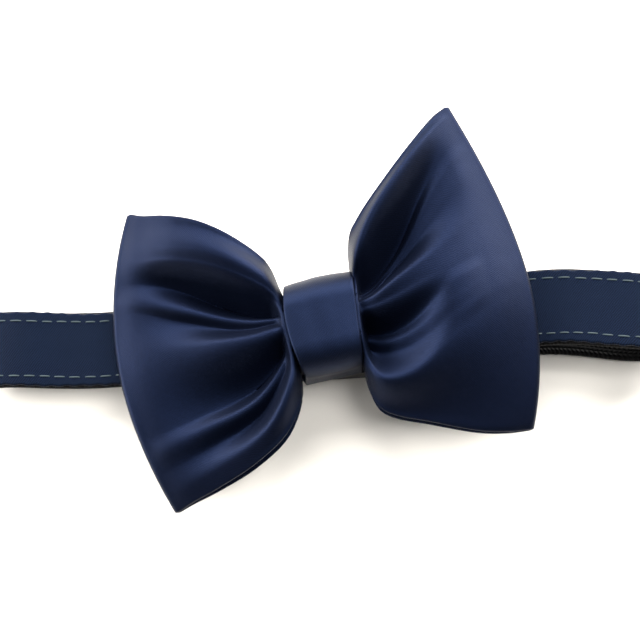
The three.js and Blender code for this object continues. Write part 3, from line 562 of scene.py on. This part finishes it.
def pucker():
    """How far the ribbon's edges draw in and out along it, in step with the stitches."""
    edge = np.abs(ribbon_shares)[None, :] ** PUCKER_EDGE * np.sign(ribbon_shares)[None, :]
    wave = 0.5 - 0.5 * np.cos(FULL_TURN * ribbon_run / STITCH_PITCH)
    slow = SLOWER_WAVE[0] * np.sin(ribbon_run / SLOWER_WAVE[1])
    slow = slow + SLOW_WAVE[0] * np.sin(ribbon_run / SLOW_WAVE[1] + 1)
    return edge * (PUCKER_SWELL * wave - PUCKER_IN + slow)[:, None]


def ribbon_lift():
    """How far the ribbon's hidden face rises and sinks: holes and grooves at the seams, and soft swells."""
    across = ribbon_shares[None, :] * WEBBING_WIDTH / 2
    run = ribbon_run[:, None]
    hole = (0.5 + 0.5 * np.cos(FULL_TURN * run / STITCH_PITCH)) ** 3
    seam = bell(np.abs(across), STITCH_ROW, SEAM_WIDTH)
    swell = bell(np.abs(across), SWELL_ROW, SWELL_WIDTH)
    slack = SLACK_HEIGHT * np.sin(run / SLACK_LENGTH) * (1 - ribbon_shares[None, :] ** 4)
    groove = seam * (GROOVE_DEPTH + HOLE_DEPTH * hole)
    lift = RIBBON_LIFT - groove + swell * (SWELL_HEIGHT - SWELL_DENT * hole) + slack
    return np.clip(lift, LOWEST_LIFT, HIGHEST_LIFT)


ribbon_offset = WEBBING_WALL / 2 + RIBBON_GAP + VISUAL_RIBBON / 2
ribbon_grid, ribbon_out, ribbon_side = strip(ribbon_view, ribbon_offset, ribbon_shares, pucker())
ribbon_uv = places(ribbon_run[:, None], ribbon_shares[None, :] * WEBBING_WIDTH / 2)
ribbon = cloth("ribbon_cover", ribbon_grid, VISUAL_RIBBON, False, ribbon_uv, ribbon_lift())

# Stitches: short threads that dip into the ribbon at both ends. First their measures along the seam, as shares
# of the pitch, then the thread's height over the ribbon's middle, its dip and its radius.
STITCH_START, STITCH_LENGTH = 0.13, 0.74
THREAD_HEIGHT, THREAD_DIP, THREAD_RADIUS = VISUAL_RIBBON / 2 + 0.17, 0.34, 0.18
THREAD_RINGS, THREAD_SIDES = 9, 6
# The thread's ends are thinner than its middle, and it lies flattened on the cloth.
END_SHARE, THREAD_BROAD, THREAD_FLAT = 0.75, 1.15, 0.8
RIBBON_END_KEEP = 0.3
# How far a thread may start early or late, lie to the side, and lean, either way.
START_SPREAD, SIDE_SPREAD, LEAN_SPREAD = 0.08, 0.1, 0.06


def stitch_faces(base):
    """The faces of one thread, whose rings of points start at a base number. They face the thread's inside."""
    faces = []
    for i in range(THREAD_RINGS - 1):
        for j in range(THREAD_SIDES):
            a = base + i * THREAD_SIDES + j
            b = base + i * THREAD_SIDES + (j + 1) % THREAD_SIDES
            faces.append((a, b, b + THREAD_SIDES, a + THREAD_SIDES))
    last = base + (THREAD_RINGS - 1) * THREAD_SIDES
    faces.append(tuple(base + j for j in reversed(range(THREAD_SIDES))))
    faces.append(tuple(last + j for j in range(THREAD_SIDES)))
    return faces


def stitch_points(row, start, wander, slant):
    """The points of one thread on a seam's row, ring by ring."""
    points = []
    centre = ribbon_grid[:, RIBBON_COLUMNS // 2]
    for t in (i / (THREAD_RINGS - 1) for i in range(THREAD_RINGS)):
        along = min(start + STITCH_PITCH * STITCH_LENGTH * t, ribbon_run[-1] - RIBBON_END_KEEP)
        spot, out, side = (
            np.array([np.interp(along, ribbon_run, values) for values in vectors.T])
            for vectors in (centre, ribbon_out, ribbon_side))
        height = THREAD_HEIGHT - THREAD_DIP * (2 * t - 1) ** 4
        spot = spot + side * (row + wander + slant * (t - 0.5)) + out * height
        radius = THREAD_RADIUS * (END_SHARE + (1 - END_SHARE) * math.sin(math.pi * t))
        for angle in (FULL_TURN * j / THREAD_SIDES for j in range(THREAD_SIDES)):
            points.append(
                spot + (side * math.cos(angle) * THREAD_BROAD + out * math.sin(angle) * THREAD_FLAT) * radius)
    return points


points, faces = [], []
for row in (-STITCH_ROW, STITCH_ROW):
    for k in range(1, int((ribbon_run[-1] - ribbon_run[0]) / STITCH_PITCH)):
        start = (k + STITCH_START) * STITCH_PITCH + rng.uniform(-START_SPREAD, START_SPREAD)
        wander, slant = rng.uniform(-SIDE_SPREAD, SIDE_SPREAD), rng.uniform(-LEAN_SPREAD, LEAN_SPREAD)
        faces += stitch_faces(len(points))
        points += stitch_points(row, start, wander, slant)
stitches = smooth_mesh("seam_stitches", np.array(points), faces)

# Clasp: the part's own shape with softened edges.
CLASP_EDGE, CLASP_EDGE_STEPS, CLASP_EDGE_ANGLE = 0.5, 3, 40
clasp_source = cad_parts["clasp"]
clasp_mesh = clasp_source.data.copy()
clasp_mesh.materials.clear()
clasp = add("buckle", clasp_mesh)
clasp.matrix_world = clasp_source.matrix_world.copy()
bevel = clasp.modifiers.new("soft_edges", "BEVEL")
bevel.width = CLASP_EDGE / MM_PER_M
bevel.segments = CLASP_EDGE_STEPS
bevel.limit_method = "ANGLE"
bevel.angle_limit = math.radians(CLASP_EDGE_ANGLE)


# Materials.
class Surface:
    """A material, with the few kinds of node that a weave or a grain is made from."""

    def __init__(self, name, colour, roughness, reflection=None):
        self.material = bpy.data.materials.new(name)
        self.material.use_nodes = True
        self.nodes, self.links = self.material.node_tree.nodes, self.material.node_tree.links
        self.shader = self.nodes["Principled BSDF"]
        self.shader.inputs["Base Color"].default_value = (*colour, 1)
        self.shader.inputs["Roughness"].default_value = roughness
        if reflection is not None:
            self.shader.inputs["Specular IOR Level"].default_value = reflection

    def math(self, operation, *values):
        node = self.nodes.new("ShaderNodeMath")
        node.operation = operation
        for socket, value in zip(node.inputs, values):
            if isinstance(value, (int, float)):
                socket.default_value = value
            else:
                self.links.new(value, socket)
        return node.outputs[0]

    def cloth_places(self):
        """The places on the flat cloth, together, along it and across it."""
        node = self.nodes.new("ShaderNodeUVMap")
        node.uv_map = CLOTH_UV
        split = self.nodes.new("ShaderNodeSeparateXYZ")
        self.links.new(node.outputs[0], split.inputs[0])
        return node.outputs[0], split.outputs[0], split.outputs[1]

    def noise(self, at, scale, detail):
        node = self.nodes.new("ShaderNodeTexNoise")
        node.inputs["Scale"].default_value = scale
        node.inputs["Detail"].default_value = detail
        self.links.new(at, node.inputs["Vector"])
        return node.outputs[0]

    def bump(self, height, strength, distance):
        node = self.nodes.new("ShaderNodeBump")
        node.inputs["Strength"].default_value = strength
        node.inputs["Distance"].default_value = distance
        self.links.new(height, node.inputs["Height"])
        self.links.new(node.outputs[0], self.shader.inputs["Normal"])


WEAVE_DEPTH, GRAIN_DEPTH = 0.001, 0.0003
# Satin: how far the twill's lines wander, the heights of its lines, grain and slubs, and the grain's shading.
TWILL_WANDER, LINE_HEIGHT, GRAIN_HEIGHT, SLUB_HEIGHT, GRAIN_SHADE = 0.9, 0.012, 0.05, 0.12, 1.6
# Scale and detail of the noises that make the twill wander, the slubs and the grain.
WANDER_NOISE, SLUB_NOISE, GRAIN_NOISE, SATIN_REFLECTION = (0.9, 2), (0.16, 3), (4.0, 4), 0.25


def satin(name, colour, tint, roughness, pitch, bump, lean, line_shade):
    """A twill satin: a dark cloth whose colour is mostly in its shine, with lines a pitch apart that lean."""
    surface = Surface(name, colour, roughness, SATIN_REFLECTION)
    both, along, across = surface.cloth_places()
    diagonal = surface.math("ADD", surface.math("MULTIPLY", along, lean), across)
    wander = surface.math("MULTIPLY", surface.noise(both, *WANDER_NOISE), TWILL_WANDER)
    wave = surface.math("SINE", surface.math("MULTIPLY", surface.math("ADD", diagonal, wander), FULL_TURN / pitch))
    slub = surface.noise(both, *SLUB_NOISE)
    grain = surface.noise(both, *GRAIN_NOISE)
    lines = surface.math("MULTIPLY", wave, LINE_HEIGHT)
    height = surface.math("ADD", lines, surface.math("MULTIPLY", grain, GRAIN_HEIGHT))
    height = surface.math("ADD", height, surface.math("MULTIPLY", slub, SLUB_HEIGHT))
    surface.bump(height, bump, WEAVE_DEPTH)
    # The floats of the weave catch the light unevenly: lighter and darker lines, and scattered specks.
    specks = surface.math("MULTIPLY", surface.math("SUBTRACT", grain, 0.5), GRAIN_SHADE)
    shade = surface.math("ADD", surface.math("MULTIPLY", wave, line_shade), specks)
    shade = surface.math("ADD", shade, 1.0)
    scaled = surface.nodes.new("ShaderNodeVectorMath")
    scaled.operation = "SCALE"
    scaled.inputs[0].default_value = tint
    surface.links.new(shade, scaled.inputs["Scale"])
    surface.links.new(scaled.outputs[0], surface.shader.inputs["Specular Tint"])
    return surface.material


def grained(name, colour, roughness, scale, bump):
    """A plain material with a fine grain."""
    surface = Surface(name, colour, roughness)
    coordinates = surface.nodes.new("ShaderNodeTexCoord")
    surface.bump(surface.noise(coordinates.outputs["Object"], scale, 3), bump, GRAIN_DEPTH)
    return surface.material


RIB_HEIGHT, CORD_HEIGHT, WEBBING_BUMP = 0.12, 0.25, 0.9


def chevron_webbing(name, colour, roughness, reflection, rib_pitch):
    """A chevron weave across the strap, on cords that run along it."""
    surface = Surface(name, colour, roughness, reflection)
    _, along, across = surface.cloth_places()
    chevron = surface.math("PINGPONG", surface.math("ADD", across, WEBBING_WIDTH), 1.0)
    slanted = surface.math("ADD", along, chevron)
    rib = surface.math("SINE", surface.math("MULTIPLY", slanted, FULL_TURN / rib_pitch))
    cord = surface.math("ABSOLUTE", surface.math("SINE", surface.math("MULTIPLY", across, math.pi)))
    ribs, cords = surface.math("MULTIPLY", rib, RIB_HEIGHT), surface.math("MULTIPLY", cord, CORD_HEIGHT)
    surface.bump(surface.math("ADD", ribs, cords), WEBBING_BUMP, WEAVE_DEPTH)
    return surface.material


# The knot band's shine is the bow's raised by about a sixth. It is painted light that makes the same satin lighter on
# the knot.
NAVY, BOW_SHINE, BAND_SHINE_PAINTED_LIGHTER = (0.0008, 0.0012, 0.003), (0.178, 0.31, 0.86), (0.21, 0.37, 1.0)
COVER_NAVY, COVER_SHINE = (0.0008, 0.0014, 0.003), (0.12, 0.23, 0.58)
# Satin: name, colour, tint, roughness, pitch, bump, lean, line shade. Grained: name, colour, roughness, scale,
# bump. Webbing: name, colour, roughness, reflection, rib pitch.
bow_satin = satin("bow_satin", NAVY, BOW_SHINE, 0.5, 0.62, 0.7, 0.75, 0.3)
# The knot band: the bow's satin with a lighter shine, which is painted light on the knot.
band_satin_painted_lighter = satin("band_satin_painted_lighter", NAVY, BAND_SHINE_PAINTED_LIGHTER, 0.5, 0.62, 0.7, 0.75, 0.3)
cover_satin = satin("cover_satin", COVER_NAVY, COVER_SHINE, 0.56, 0.95, 1.0, 1.5, 0.8)
thread = grained("pale_thread", (0.013, 0.028, 0.033), 0.6, 3000, 0.4)
plastic = grained("moulded_plastic", (0.008, 0.008, 0.009), 0.42, 900, 0.15)
nylon = chevron_webbing("woven_nylon", (0.0012, 0.0012, 0.0016), 0.65, 0.12, 1.3)

for obj, material in (
    (bow, bow_satin), (band, band_satin_painted_lighter), (ribbon, cover_satin),
    (stitches, thread), (webbing, nylon), (clasp, plastic),
):
    obj.data.materials.append(material)

for obj in (bow, band, ribbon, stitches, webbing, clasp):
    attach(obj, "root")
for obj, node, slot in (
    (bow, "bow", "navy_satin"), (band, "knot_band", "navy_satin"), (ribbon, "collar_ribbon", "ribbon_satin"),
    (webbing, "collar_webbing", "black_webbing"), (clasp, "clasp", "black_plastic"),
):
    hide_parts(node)

# Table.
TABLE_HALF = 3.0
corners = [(x * TABLE_HALF, y * TABLE_HALF, 0) for x, y in ((-1, -1), (1, -1), (1, 1), (-1, 1))]
table_mesh = bpy.data.meshes.new("table_top")
table_mesh.from_pydata(corners, [], [(0, 1, 2, 3)])
table_mesh.materials.append(Surface("pale_table", (0.86, 0.83, 0.78), 0.9, 0.1).material)
floor = add("table_top", table_mesh)

# Soft boxes round the table. Each stands so far off, tilted from straight up and turned from +X (degrees).
BOX_SIZE, BOX_DISTANCE, BOX_COLOUR = 0.7, 1.3, (1.0, 0.985, 0.96)
SOFT_BOXES = (
    # name, tilt, turn, power
    ("window_right", 65, 45, 48.0),
    ("window_left", 65, 135, 30.0),
    ("side_left", 70, 180, 33.0),
    ("top_right", 25, 0, 12.0),
    ("top_left", 25, 180, 4.0),
    ("top_back", 45, 90, 28.0),
)
ROOM_COLOUR, ROOM_LIGHT = (0.97, 0.98, 1.0, 1), 0.02


def stand(obj, x, y, z, spot):
    """Stands an object at a spot, with its own axes along x, y and z."""
    obj.matrix_world = Matrix([*zip(x, y, z, spot), (0, 0, 0, 1)])


def soft_box(name, tilt_angle, turn_angle, power):
    tilted, turned = math.radians(tilt_angle), math.radians(turn_angle)
    z = np.array([math.sin(tilted) * math.cos(turned), math.sin(tilted) * math.sin(turned), math.cos(tilted)])
    x = np.cross([0, 0, 1], z)
    x /= np.linalg.norm(x)
    light = bpy.data.lights.new(name, "AREA")
    light.shape = "SQUARE"
    light.size = BOX_SIZE
    light.energy = power
    light.color = BOX_COLOUR
    stand(add(name, light), x, np.cross(z, x), z, BOX_DISTANCE * z)


for box in SOFT_BOXES:
    soft_box(*box)

world = bpy.data.worlds.new("room")
bpy.context.scene.world = world
world.use_nodes = True
background = world.node_tree.nodes["Background"]
background.inputs[0].default_value = ROOM_COLOUR
background.inputs[1].default_value = ROOM_LIGHT
bpy.context.scene.view_settings.view_transform = "Standard"

# Camera: nearly above the collar, a little from its front, and rolled.
ELEVATION, ROLL = math.radians(76.0), math.radians(3.3)
CAMERA_SPOT, CAMERA_LENS, CAMERA_SENSOR, CAMERA_NEAR = (-1.538, -101.366, 431.227), 88, 36, 0.01
back = np.array([0, -math.cos(ELEVATION), math.sin(ELEVATION)])
level_right = np.array([1.0, 0, 0])
level_up = np.cross(back, level_right)
camera_data = bpy.data.cameras.new("camera")
camera_data.lens = CAMERA_LENS
camera_data.sensor_width = CAMERA_SENSOR
camera_data.clip_start = CAMERA_NEAR
camera = add("camera", camera_data)
stand(
    camera, math.cos(ROLL) * level_right - math.sin(ROLL) * level_up,
    math.sin(ROLL) * level_right + math.cos(ROLL) * level_up, back, np.array(CAMERA_SPOT) / MM_PER_M)
bpy.context.scene.camera = camera
